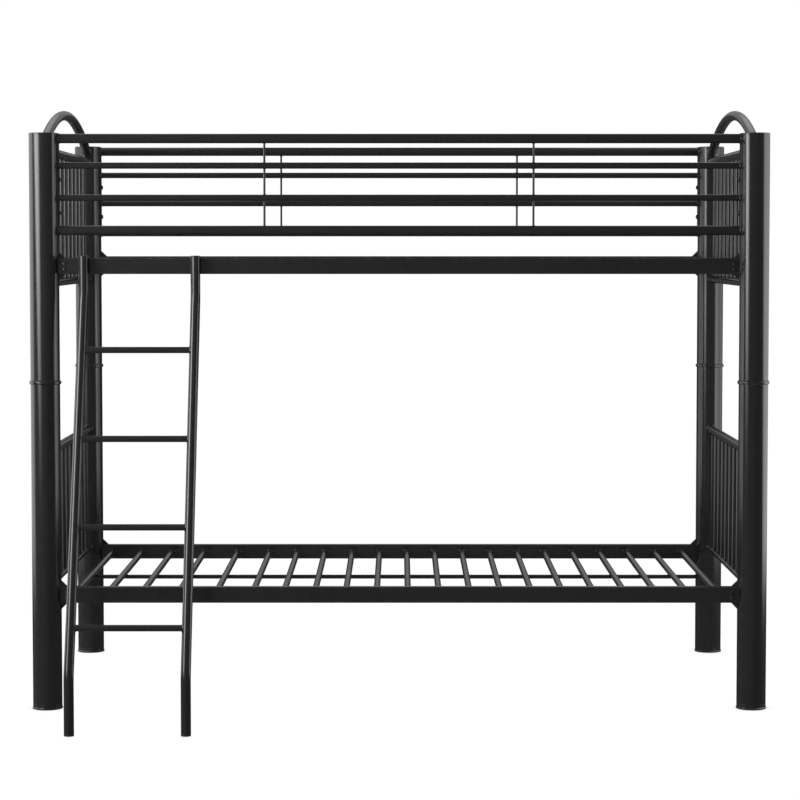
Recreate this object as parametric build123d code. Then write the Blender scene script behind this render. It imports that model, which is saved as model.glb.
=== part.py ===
from build123d import *
import math
import os

os.makedirs("parts", exist_ok=True)

# ---------------------------------------------------------------------------
# Bunk bed with ladder: two stacked tubular metal beds on round corner posts.
# Millimetres, +Z up, floor at Z = 0. +X along the bed, -Y is the ladder side.
# The middle of the whole footprint (ladder included) is at X = 0, Y = 0.
# ---------------------------------------------------------------------------

# plan
POST_X = 965.2            # post centres from the middle, along the bed
POST_W = 1016.0           # front to back spacing of the post centres
Y_SHIFT = 191.125         # bed middle, so that the ladder's reach is balanced
YF = Y_SHIFT - POST_W / 2
YB = Y_SHIFT + POST_W / 2
GAP = 0.05                # weld gap between two neighbouring pieces

# corner posts
POST_R = 40.0
POST_T = 1.2
FOOT_H = 13.5             # part of the foot cap below the post
FOOT_R = 41.4             # rounded rim at the floor
FOOT_RIM = 6.0            # height of that rim
RING_Z0, RING_Z1 = 890.8, 900.0   # collar where the two halves meet
RING_R = 43.5
SEAT_GAP = 0.4            # upper post above the collar
POST_TOP = 1572.5
CAP_H = 4.0
SPIGOT_UP = 98.0
SPIGOT_DN = 60.0

# tubes
RAIL_R = 13.0             # guard rails, end rails
ARCH_R = 13.7             # arched end tube
MID_R = 8.6               # thin guard rails, ladder rungs
SPIN_R = 6.35             # end panel spindles
ROD_R = 3.1               # guard uprights
TUBE_T = 1.0

# side rails: rectangular tube
SR_H, SR_W, SR_T = 44.0, 25.4, 1.2
SR_R = 3.0
SR_LOW = 291.9            # underside, lower bunk
SR_UP = 1190.4            # underside, upper bunk
SR_END = 918.0            # half length
WING_X = 908.0            # where the gusset's slopes meet the rail
BR_UP, BR_DN = 15.6, 17.3 # gusset height above and below the side rail
BR_T = 7.0                # thickness of the gusset plate
TONGUE_L = 62.0
BOLT_X = 909.2            # two dome bolts on the outer face at each rail end
BOLT_DZ = (27.6, 12.1)    # above the underside of the rail

# decks
SLAT_R = 9.0
SLAT_T = 0.8
SLAT_TOP = 30.4           # slat top above the underside of the side rail
SLAT_X = [-892.9, -802.0, -709.2, -608.1, -504.4, -404.2, -318.8, -233.3,
          -147.8, -62.5, 23.0, 108.4, 193.9, 279.2, 364.5, 450.1, 535.5,
          620.9, 706.3, 791.7, 876.7]
BAR_R = 5.9
BAR_X0, BAR_X1 = -901.0, 889.0

# end panels
UP_TOP_Z = 1524.8         # straight top rail centre, upper end panel
UP_BOT_Z = 1164.0
UP_BOT_R = 11.0
LO_TOP_Z = 699.2
LO_BOT_Z = 329.1
LO_BOT_R = 8.6
ARCH_APEX = 1642.1        # highest point of the arch centreline
ARCH_BEND = 1337.0        # bend radius of the arch centreline
SPIN_N = 10
SPIN_PITCH = 88.5

# guard panels
GA, GB, GC, GD = 1557.3, 1484.2, 1397.2, 1308.7
ROD_X = (-366.5, 364.0)   # guard uprights
STRAP_T = 2.2
STRAP_HALF = 23.0         # half angle of the strap around the post, degrees
GBOLT_Z = (1446.9, 1356.2)

# ladder
LAD_R = 13.25
LAD_T = 1.2
LAD_X = (-855.6, -552.6)
LAD_Y0 = YF - 28.0        # upper, upright part
LAD_Y1 = YF - 412.5       # foot, upright part
LAD_ZT = 1237.5
LAD_Z0, LAD_Z1 = 1124.0, 152.0   # the two bend corners
LAD_BEND = 95.0
LAD_FOOT = 5.0
RUNG_Z = (986.9, 753.7, 526.8, 274.1)
HOOK_W, HOOK_T, HOOK_DROP = 22.0, 3.0, 30.0

CC = (Align.CENTER, Align.CENTER, Align.MIN)


def cyl(p0, p1, r):
    a, b = Vector(*p0), Vector(*p1)
    v = b - a
    return Plane(origin=a, z_dir=v) * Cylinder(r, v.length, align=CC)


def tube(p0, p1, r, t):
    a, b = Vector(*p0), Vector(*p1)
    u = (b - a).normalized()
    c, d = a - u, b + u
    return cyl(p0, p1, r) - cyl((c.X, c.Y, c.Z), (d.X, d.Y, d.Z), r - t)


def solids(*shapes):
    out = []
    for s in shapes:
        out.extend(s.solids())
    return out


def save(name, *shapes):
    got = solids(*shapes)
    shape = got[0] if len(got) == 1 else Compound(got)
    export_step(shape, "parts/" + name + ".step")


def revolved(points, x, y):
    """Turned piece about the vertical line at x, y from (radius, height) points."""
    face = make_face(Polyline(*[(r, 0, z) for r, z in points], close=True))
    return Pos(x, y, 0) * revolve(face, Axis.Z, 360)


CORNERS = [("front_left", -POST_X, YF), ("front_right", POST_X, YF),
           ("back_left", -POST_X, YB), ("back_right", POST_X, YB)]


def post_cutters(r):
    return [cyl((x, y, -50), (x, y, 1800), r) for _, x, y in CORNERS]


CUT_POST = post_cutters(POST_R + GAP)
CUT_STRAP = post_cutters(POST_R + GAP + STRAP_T + GAP)


def cope(shape, cutters):
    for c in cutters:
        shape = shape - c
    # keep the piece between the posts, not the plugs left inside them
    return max(shape.solids(), key=lambda s: s.volume)


# ---------------------------------------------------------------------------
# corner posts with caps and couplers
# ---------------------------------------------------------------------------
feet, tops, couplers = [], [], []
for name, x, y in CORNERS:
    side = -1 if x > 0 else 1
    lower = tube((x, y, FOOT_H), (x, y, RING_Z0), POST_R, POST_T)
    save("lower_post_" + name, lower)

    upper = tube((x, y, RING_Z1 + SEAT_GAP), (x, y, POST_TOP - CAP_H), POST_R, POST_T)
    for z in GBOLT_Z:
        upper = upper - cyl((x, y, z), (x + side * 60, y, z), 4.3)
    save("upper_post_" + name, upper)

    # foot cap: turned, with a rounded rim at the floor and a skirt flush with
    # the post, plugged into the post
    foot = revolved([(0, 0), (FOOT_R - 2.8, 0), (FOOT_R - 1.4, 0.4), (FOOT_R - 0.4, 1.4),
                     (FOOT_R, 2.8), (FOOT_R - 0.2, 3.9), (FOOT_R - 0.8, 5.0), (POST_R - GAP, FOOT_RIM),
                     (POST_R - GAP, FOOT_H - 0.8), (POST_R - 0.5, FOOT_H - GAP),
                     (POST_R - POST_T - 0.2, FOOT_H - GAP),
                     (POST_R - POST_T - 0.2, FOOT_H + 20), (POST_R - POST_T - 1.6, FOOT_H + 24),
                     (POST_R - POST_T - 4.0, FOOT_H + 24), (POST_R - POST_T - 4.0, 5.0),
                     (0, 5.0)], x, y)
    feet.append(foot)

    # top cap: flat lid with a softened rim
    z0 = POST_TOP - CAP_H + GAP
    top = revolved([(0, POST_TOP), (POST_R - 2.4, POST_TOP), (POST_R - 0.8, POST_TOP - 0.7),
                    (POST_R - 0.05, POST_TOP - 2.2), (POST_R - 0.05, z0),
                    (POST_R - POST_T - 0.2, z0), (POST_R - POST_T - 0.2, z0 - 16),
                    (POST_R - POST_T - 1.6, z0 - 20), (POST_R - POST_T - 4.0, z0 - 20),
                    (POST_R - POST_T - 4.0, POST_TOP - 3.0), (0, POST_TOP - 3.0)], x, y)
    tops.append(top)

    # coupler: sleeve fixed in the lower post, collar, tapered spigot above
    ri = POST_R - POST_T - 3.6
    rs = POST_R - POST_T - 0.5
    rl = POST_R - POST_T - 0.15
    coup = revolved([(ri, RING_Z0 - SPIGOT_DN), (rl - 1.5, RING_Z0 - SPIGOT_DN),
                     (rl, RING_Z0 - SPIGOT_DN + 4), (rl, RING_Z0 + GAP),
                     (RING_R - 1.8, RING_Z0 + GAP), (RING_R - 0.5, RING_Z0 + 1.3), (RING_R, RING_Z0 + 3.2),
                     (RING_R, RING_Z1 - 3.2), (RING_R - 0.5, RING_Z1 - 1.3), (RING_R - 1.8, RING_Z1),
                     (rs, RING_Z1), (rs, RING_Z1 + SPIGOT_UP - 22),
                     (rs - 2.6, RING_Z1 + SPIGOT_UP), (ri, RING_Z1 + SPIGOT_UP)], x, y)
    couplers.append(coup)

save("foot_caps", *feet)
save("post_top_caps", *tops)
save("post_couplers", *couplers)


# ---------------------------------------------------------------------------
# side rails, gusset brackets and bolts, slat decks
# ---------------------------------------------------------------------------
def outward(y):
    return -1 if y < Y_SHIFT else 1


def side_rail(y, z0):
    """Rectangular tube along X with bolt holes in its outer face near both ends."""
    zc = z0 + SR_H / 2
    outer = RectangleRounded(SR_W, SR_H, SR_R)
    inner = RectangleRounded(SR_W - 2 * SR_T, SR_H - 2 * SR_T, SR_R - SR_T)
    prof = Plane(origin=(-SR_END, y, zc), x_dir=(0, 1, 0), z_dir=(1, 0, 0)) * (outer - inner)
    rail = extrude(prof, amount=2 * SR_END)
    for x in (-BOLT_X, BOLT_X):
        for dz in BOLT_DZ:
            rail = rail - cyl((x, y, z0 + dz), (x, y + outward(y) * 40, z0 + dz), 3.3)
    return rail


def bracket(x, y, z0):
    """Gusset plate welded to a post, with slopes above and below the rail's end, a
    block that closes the rail's end and a hollow tongue reaching into the rail."""
    s = -1 if x > 0 else 1
    limb = x + s * POST_R
    wing = s * -WING_X
    pts = [(limb - s * 22, z0 - BR_DN), (limb + s * 1.0, z0 - BR_DN), (wing, z0),
           (wing, z0 + SR_H), (limb + s * 1.0, z0 + SR_H + BR_UP), (limb - s * 22, z0 + SR_H + BR_UP)]
    pl = Plane(origin=(0, y + BR_T / 2, 0), x_dir=(1, 0, 0), z_dir=(0, -1, 0))
    gus = extrude(pl * make_face(Polyline(*pts, close=True)), amount=BR_T)
    hw, hh = SR_W / 2 - SR_T - 0.7, SR_H / 2 - SR_T - 0.7
    zc = z0 + SR_H / 2
    end = s * -(SR_END + GAP)
    gus = gus - Pos(end / 2, y, zc) * Box(abs(end), SR_W + 4, SR_H + 2 * GAP)
    inner = limb - s * 22
    gus = gus + Pos((inner + end) / 2, y, zc) * Box(abs(inner - end), SR_W - 1.0, SR_H - 1.0)
    xa, xb = end - s * 2.0, end + s * TONGUE_L
    tongue = Pos((xa + xb) / 2, y, zc) * Box(abs(xb - xa), 2 * hw, 2 * hh)
    hollow = Pos((xa + xb) / 2 + s * 6, y, zc) * Box(abs(xb - xa) + 0.2, 2 * hw - 5, 2 * hh - 5)
    body = gus + tongue - hollow
    for dz in BOLT_DZ:
        body = body - cyl((s * -BOLT_X, y, z0 + dz), (s * -BOLT_X, y + outward(y) * 40, z0 + dz), 3.3)
    return cope(body, CUT_POST)


def button_bolt(p, d, head_r, head_h, shank_r, shank_l):
    """Dome-head bolt: p under the head, d the way the head faces."""
    n = 5
    dome = [(0, head_h)]
    for i in range(1, n):
        a = math.pi / 2 * i / n
        dome.append((head_r * math.sin(a), 0.25 * head_h + 0.75 * head_h * math.cos(a)))
    pts = dome + [(head_r, 0.25 * head_h), (head_r, 0), (shank_r, 0), (shank_r, 0.8 - shank_l),
                  (shank_r - 0.8, -shank_l), (0, -shank_l)]
    face = make_face(Polyline(*[(r, 0, z) for r, z in pts], close=True))
    return Plane(origin=p, z_dir=d) * revolve(face, Axis.Z, 360)


def slat_deck(z0):
    zc = z0 + SLAT_TOP - SLAT_R
    ya = YF + SR_W / 2 + GAP
    yb = YB - SR_W / 2 - GAP
    slats = [tube((x, ya, zc), (x, yb, zc), SLAT_R, SLAT_T) for x in SLAT_X]
    zb = zc - SLAT_R - BAR_R - GAP
    bar = tube((BAR_X0, Y_SHIFT, zb), (BAR_X1, Y_SHIFT, zb), BAR_R, TUBE_T)
    return slats, bar


for tier, z0 in (("lower", SR_LOW), ("upper", SR_UP)):
    save(tier + "_side_rail_front", side_rail(YF, z0))
    save(tier + "_side_rail_back", side_rail(YB, z0))
    brs, bolts = [], []
    for name, x, y in CORNERS:
        brs.append(bracket(x, y, z0))
        s, o = (-1 if x > 0 else 1), outward(y)
        for dz in BOLT_DZ:
            bolts.append(button_bolt((s * -BOLT_X, y + o * (SR_W / 2 + GAP), z0 + dz), (0, o, 0), 5.4, 3.2, 2.9, 14.0))
    save(tier + "_rail_brackets", *brs)
    save(tier + "_rail_bolts", *bolts)
    slats, bar = slat_deck(z0)
    save(tier + "_slats", *slats)
    save(tier + "_centre_bar", bar)


# ---------------------------------------------------------------------------
# end panels
# ---------------------------------------------------------------------------
def end_rail(x, z, r):
    return cope(tube((x, YF, z), (x, YB, z), r, TUBE_T), CUT_POST)


def spindles(x, zb, rb, zt, rt):
    out = []
    cb = cyl((x, YF, zb), (x, YB, zb), rb + GAP)
    ct = cyl((x, YF, zt), (x, YB, zt), rt + GAP)
    for i in range(SPIN_N):
        y = Y_SHIFT + (i - (SPIN_N - 1) / 2) * SPIN_PITCH
        s = tube((x, y, zb), (x, y, zt), SPIN_R, TUBE_T) - cb - ct
        out.append(max(s.solids(), key=lambda q: q.volume))
    return out


def arch(x):
    zc = ARCH_APEX - ARCH_BEND
    h = POST_W / 2

    def at(dy):
        return (x, Y_SHIFT + dy, zc + math.sqrt(ARCH_BEND ** 2 - dy ** 2))

    path = ThreePointArc(at(-h), at(0), at(h))
    prof = Plane(origin=path @ 0, z_dir=path % 0) * (Circle(ARCH_R) - Circle(ARCH_R - TUBE_T))
    return cope(sweep(prof, path=path), CUT_POST)


for side, x in (("left", -POST_X), ("right", POST_X)):
    save("lower_" + side + "_top_rail", end_rail(x, LO_TOP_Z, RAIL_R))
    save("lower_" + side + "_bottom_rail", end_rail(x, LO_BOT_Z, LO_BOT_R))
    save("lower_" + side + "_spindles", *spindles(x, LO_BOT_Z, LO_BOT_R, LO_TOP_Z, RAIL_R))
    save("upper_" + side + "_top_rail", end_rail(x, UP_TOP_Z, RAIL_R))
    save("upper_" + side + "_bottom_rail", end_rail(x, UP_BOT_Z, UP_BOT_R))
    save("upper_" + side + "_spindles", *spindles(x, UP_BOT_Z, UP_BOT_R, UP_TOP_Z, RAIL_R))
    save("upper_" + side + "_arch", arch(x))


# ---------------------------------------------------------------------------
# guard panels
# ---------------------------------------------------------------------------
def guard_rail(y, z, r):
    return cope(tube((-POST_X, y, z), (POST_X, y, z), r, TUBE_T), CUT_STRAP)


def strap(x, y):
    s = -1 if x > 0 else 1
    r0, r1 = POST_R + GAP, POST_R + GAP + STRAP_T
    z0, z1 = GD - RAIL_R - 1.0, GA + RAIL_R - 0.5
    ring = cyl((x, y, z0), (x, y, z1), r1) - cyl((x, y, z0 - 1), (x, y, z1 + 1), r0)
    w = r1 * math.sin(math.radians(STRAP_HALF))
    keep = Pos(x + s * 40, y, (z0 + z1) / 2) * Box(50, 2 * w, z1 - z0 + 2)
    piece = max((ring & keep).solids(), key=lambda q: q.volume)
    for z in GBOLT_Z:
        piece = piece - cyl((x, y, z), (x + s * 60, y, z), 4.3)
    return piece


guard_bolts = []
for side, y in (("front", YF), ("back", YB)):
    save(side + "_guard_top_rail", guard_rail(y, GA, RAIL_R))
    save(side + "_guard_mid_rails", guard_rail(y, GB, MID_R), guard_rail(y, GC, MID_R))
    save(side + "_guard_bottom_rail", guard_rail(y, GD, RAIL_R))
    rods = []
    levels = [(GD, RAIL_R), (GC, MID_R), (GB, MID_R), (GA, RAIL_R)]
    for x in ROD_X:
        for (za, ra), (zb, rb) in zip(levels[:-1], levels[1:]):
            rod = cyl((x, y, za), (x, y, zb), ROD_R)
            rod = rod - cyl((x - 20, y, za), (x + 20, y, za), ra + GAP)
            rod = rod - cyl((x - 20, y, zb), (x + 20, y, zb), rb + GAP)
            rods.append(max(rod.solids(), key=lambda q: q.volume))
    save(side + "_guard_uprights", *rods)
    save(side + "_guard_end_straps", strap(-POST_X, y), strap(POST_X, y))
    for x in (-POST_X, POST_X):
        s = -1 if x > 0 else 1
        for z in GBOLT_Z:
            guard_bolts.append(button_bolt((x + s * (POST_R + STRAP_T + 3 * GAP), y, z), (s, 0, 0), 6.6, 4.4, 3.9, 22.0))
save("guard_bolts", *guard_bolts)


# ---------------------------------------------------------------------------
# ladder
# ---------------------------------------------------------------------------
def ladder_path(x, z_bottom):
    return FilletPolyline((x, LAD_Y0, LAD_ZT), (x, LAD_Y0, LAD_Z0), (x, LAD_Y1, LAD_Z1),
                          (x, LAD_Y1, z_bottom), radius=LAD_BEND)


def ladder_rail(x, r, t):
    path = ladder_path(x, LAD_FOOT)
    sk = Circle(r) - Circle(r - t) if t else Circle(r)
    prof = Plane(origin=path @ 0, z_dir=path % 0) * sk
    return sweep(prof, path=path)


cut_rails = []
for side, x in zip(("left", "right"), LAD_X):
    save("ladder_rail_" + side, ladder_rail(x, LAD_R, LAD_T))
    cut_rails.append(ladder_rail(x, LAD_R + GAP, 0))

k = (LAD_Y0 - LAD_Y1) / (LAD_Z0 - LAD_Z1)
for i, z in enumerate(RUNG_Z):
    y = LAD_Y1 + k * (z - LAD_Z1)
    rung = tube((LAD_X[0], y, z), (LAD_X[1], y, z), MID_R, TUBE_T)
    for c in cut_rails:
        rung = rung - c
    save("ladder_rung_%d" % (i + 1), max(rung.solids(), key=lambda q: q.volume))

hooks, lfeet, ltops = [], [], []
zt = SR_UP + SR_H + 0.4
yi = YF + SR_W / 2 + 0.5
for x in LAD_X:
    # flat strap: over the side rail, down behind it
    pts = [(LAD_Y0, zt), (yi, zt), (yi, zt - HOOK_DROP), (yi + HOOK_T, zt - HOOK_DROP - 1.5),
           (yi + HOOK_T, zt + HOOK_T - 2.4), (yi + HOOK_T - 0.7, zt + HOOK_T - 0.7),
           (yi + HOOK_T - 2.4, zt + HOOK_T), (LAD_Y0, zt + HOOK_T)]
    pl = Plane(origin=(x - HOOK_W / 2, 0, 0), x_dir=(0, 1, 0), z_dir=(1, 0, 0))
    hook = extrude(pl * make_face(Polyline(*pts, close=True)), amount=HOOK_W)
    hook = hook - cyl((x, LAD_Y0, zt - 60), (x, LAD_Y0, zt + 60), LAD_R + GAP)
    hooks.append(max(hook.solids(), key=lambda q: q.volume))
    rp = LAD_R - LAD_T - 0.15
    lfeet.append(revolved([(0, 0), (LAD_R - 1.6, 0), (LAD_R - 0.5, 0.5), (LAD_R, 1.6), (LAD_R, LAD_FOOT - GAP),
                           (rp, LAD_FOOT - GAP), (rp, LAD_FOOT + 18), (rp - 1, LAD_FOOT + 20), (0, LAD_FOOT + 20)],
                          x, LAD_Y1))
    ltops.append(revolved([(0, LAD_ZT - 18), (rp - 1, LAD_ZT - 18), (rp, LAD_ZT - 16), (rp, LAD_ZT + GAP),
                           (LAD_R, LAD_ZT + GAP), (LAD_R, LAD_ZT + 1.2), (LAD_R - 0.9, LAD_ZT + 2.4),
                           (LAD_R - 2.6, LAD_ZT + 3.0), (0, LAD_ZT + 3.2)], x, LAD_Y0))
save("ladder_hooks", *hooks)
save("ladder_feet", *lfeet)
save("ladder_top_caps", *ltops)
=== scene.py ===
import bpy
import bmesh
import math
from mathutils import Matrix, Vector, noise


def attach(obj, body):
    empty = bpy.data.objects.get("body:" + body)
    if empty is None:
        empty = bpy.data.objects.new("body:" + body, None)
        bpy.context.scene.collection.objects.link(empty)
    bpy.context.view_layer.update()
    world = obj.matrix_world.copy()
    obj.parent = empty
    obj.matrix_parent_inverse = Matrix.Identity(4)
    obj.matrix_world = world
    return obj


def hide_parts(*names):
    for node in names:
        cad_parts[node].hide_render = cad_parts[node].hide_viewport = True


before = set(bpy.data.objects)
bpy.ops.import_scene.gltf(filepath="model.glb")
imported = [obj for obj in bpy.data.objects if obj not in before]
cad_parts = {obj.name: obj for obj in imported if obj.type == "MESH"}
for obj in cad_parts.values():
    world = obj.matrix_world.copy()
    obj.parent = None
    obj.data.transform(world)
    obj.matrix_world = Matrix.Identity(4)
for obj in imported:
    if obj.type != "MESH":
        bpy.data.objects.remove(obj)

# a start-up scene's own cube, lamp and camera are not part of this scene
for _name in ("Cube", "Light", "Camera"):
    _ob = bpy.data.objects.get(_name)
    if _ob is not None and _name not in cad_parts:
        bpy.data.objects.remove(_ob)

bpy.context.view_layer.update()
scene = bpy.context.scene
MM = 0.001

# ---------------------------------------------------------------------------
# dimensions, millimetres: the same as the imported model's
# ---------------------------------------------------------------------------
POST_X = 965.2
Y_SHIFT = 191.125
POST_W = 1016.0
YF = Y_SHIFT - POST_W / 2
YB = Y_SHIFT + POST_W / 2
POST_R, POST_T = 40.0, 1.2
FOOT_H, FOOT_R, FOOT_RIM = 13.5, 41.4, 6.0
RING_Z0, RING_Z1, RING_R = 890.8, 900.0, 43.5
SEAT_GAP = 0.4
POST_TOP, CAP_H = 1572.5, 4.0
SPIGOT_UP, SPIGOT_DN = 98.0, 60.0
RAIL_R, ARCH_R, MID_R, SPIN_R, ROD_R = 13.0, 13.7, 8.6, 6.35, 3.1
SR_H, SR_W, SR_R = 44.0, 25.4, 3.0
SR_LOW, SR_UP = 291.9, 1190.4
SR_END, WING_X = 918.0, 908.0
BR_UP, BR_DN, BR_T = 15.6, 17.3, 7.0
BOLT_X = 909.2
BOLT_DZ = (27.6, 12.1)
SLAT_R, SLAT_TOP = 9.0, 30.4
SLAT_X = [-892.9, -802.0, -709.2, -608.1, -504.4, -404.2, -318.8, -233.3,
          -147.8, -62.5, 23.0, 108.4, 193.9, 279.2, 364.5, 450.1, 535.5,
          620.9, 706.3, 791.7, 876.7]
BAR_R = 5.9
BAR_X0, BAR_X1 = -901.0, 889.0
UP_TOP_Z, UP_BOT_Z, UP_BOT_R = 1524.8, 1164.0, 11.0
LO_TOP_Z, LO_BOT_Z, LO_BOT_R = 699.2, 329.1, 8.6
ARCH_APEX, ARCH_BEND = 1642.1, 1337.0
SPIN_N, SPIN_PITCH = 10, 88.5
GA, GB, GC, GD = 1557.3, 1484.2, 1397.2, 1308.7
ROD_X = (-366.5, 364.0)
STRAP_T, STRAP_HALF = 2.2, 23.0
GBOLT_Z = (1446.9, 1356.2)
LAD_R = 13.25
LAD_X = (-855.6, -552.6)
LAD_Y0, LAD_Y1 = YF - 28.0, YF - 412.5
LAD_ZT, LAD_Z0, LAD_Z1, LAD_BEND, LAD_FOOT = 1237.5, 1124.0, 152.0, 95.0, 5.0
RUNG_Z = (986.9, 753.7, 526.8, 274.1)
HOOK_W, HOOK_T, HOOK_DROP = 22.0, 3.0, 30.0
GAP = 0.05

CORNERS = [("front_left", -POST_X, YF), ("front_right", POST_X, YF),
           ("back_left", -POST_X, YB), ("back_right", POST_X, YB)]


# ---------------------------------------------------------------------------
# camera: at the photograph's viewing angle
# ---------------------------------------------------------------------------
cam = bpy.data.cameras.new("camera")
cam.sensor_width = 36.0
cam.lens = 118.334
cam.clip_end = 200.0
cam_ob = bpy.data.objects.new("camera", cam)
cam_ob.location = (0.001632, -7.475705, 1.270112)
cam_ob.rotation_euler = (math.radians(90.0 - 3.380557), 0.0, 0.0)
scene.collection.objects.link(cam_ob)
scene.camera = cam_ob


# ---------------------------------------------------------------------------
# mesh building
# ---------------------------------------------------------------------------
def frame_of(a):
    """Two unit vectors square to the unit vector a."""
    u = Vector((0, 0, 1)) if abs(a.z) < 0.9 else Vector((1, 0, 0))
    e1 = (u - a * u.dot(a)).normalized()
    return e1, a.cross(e1)


def soften(pts, closed=False, n=4, spread=1.2):
    """Rounds the corners of an outline of (x, y, radius); gives (x, y, wear)."""
    out, m = [], len(pts)
    for i, (x, y, r) in enumerate(pts):
        if r <= 0 or (not closed and i in (0, m - 1)):
            out.append((x, y, 0.0))
            continue
        p = Vector((x, y))
        a = Vector(pts[i - 1][:2]) - p
        b = Vector(pts[(i + 1) % m][:2]) - p
        la, lb = a.length, b.length
        a, b = a / la, b / lb
        half = math.acos(max(-1.0, min(1.0, a.dot(b)))) / 2
        t = min(r / math.tan(half), 0.48 * la, 0.48 * lb)
        rr = t * math.tan(half)
        c = p + (a + b).normalized() * (rr / math.sin(half))
        if 0.48 * la > t + spread:
            q = p + a * (t + spread)
            out.append((q.x, q.y, 0.0))
        v0, v1 = p + a * t - c, p + b * t - c
        a0 = math.atan2(v0.y, v0.x)
        d = (math.atan2(v1.y, v1.x) - a0 + math.pi) % (2 * math.pi) - math.pi
        for k in range(n + 1):
            g = a0 + d * k / n
            out.append((c.x + rr * math.cos(g), c.y + rr * math.sin(g), 1.0))
        if 0.48 * lb > t + spread:
            q = p + b * (t + spread)
            out.append((q.x, q.y, 0.0))
    return out


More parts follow.
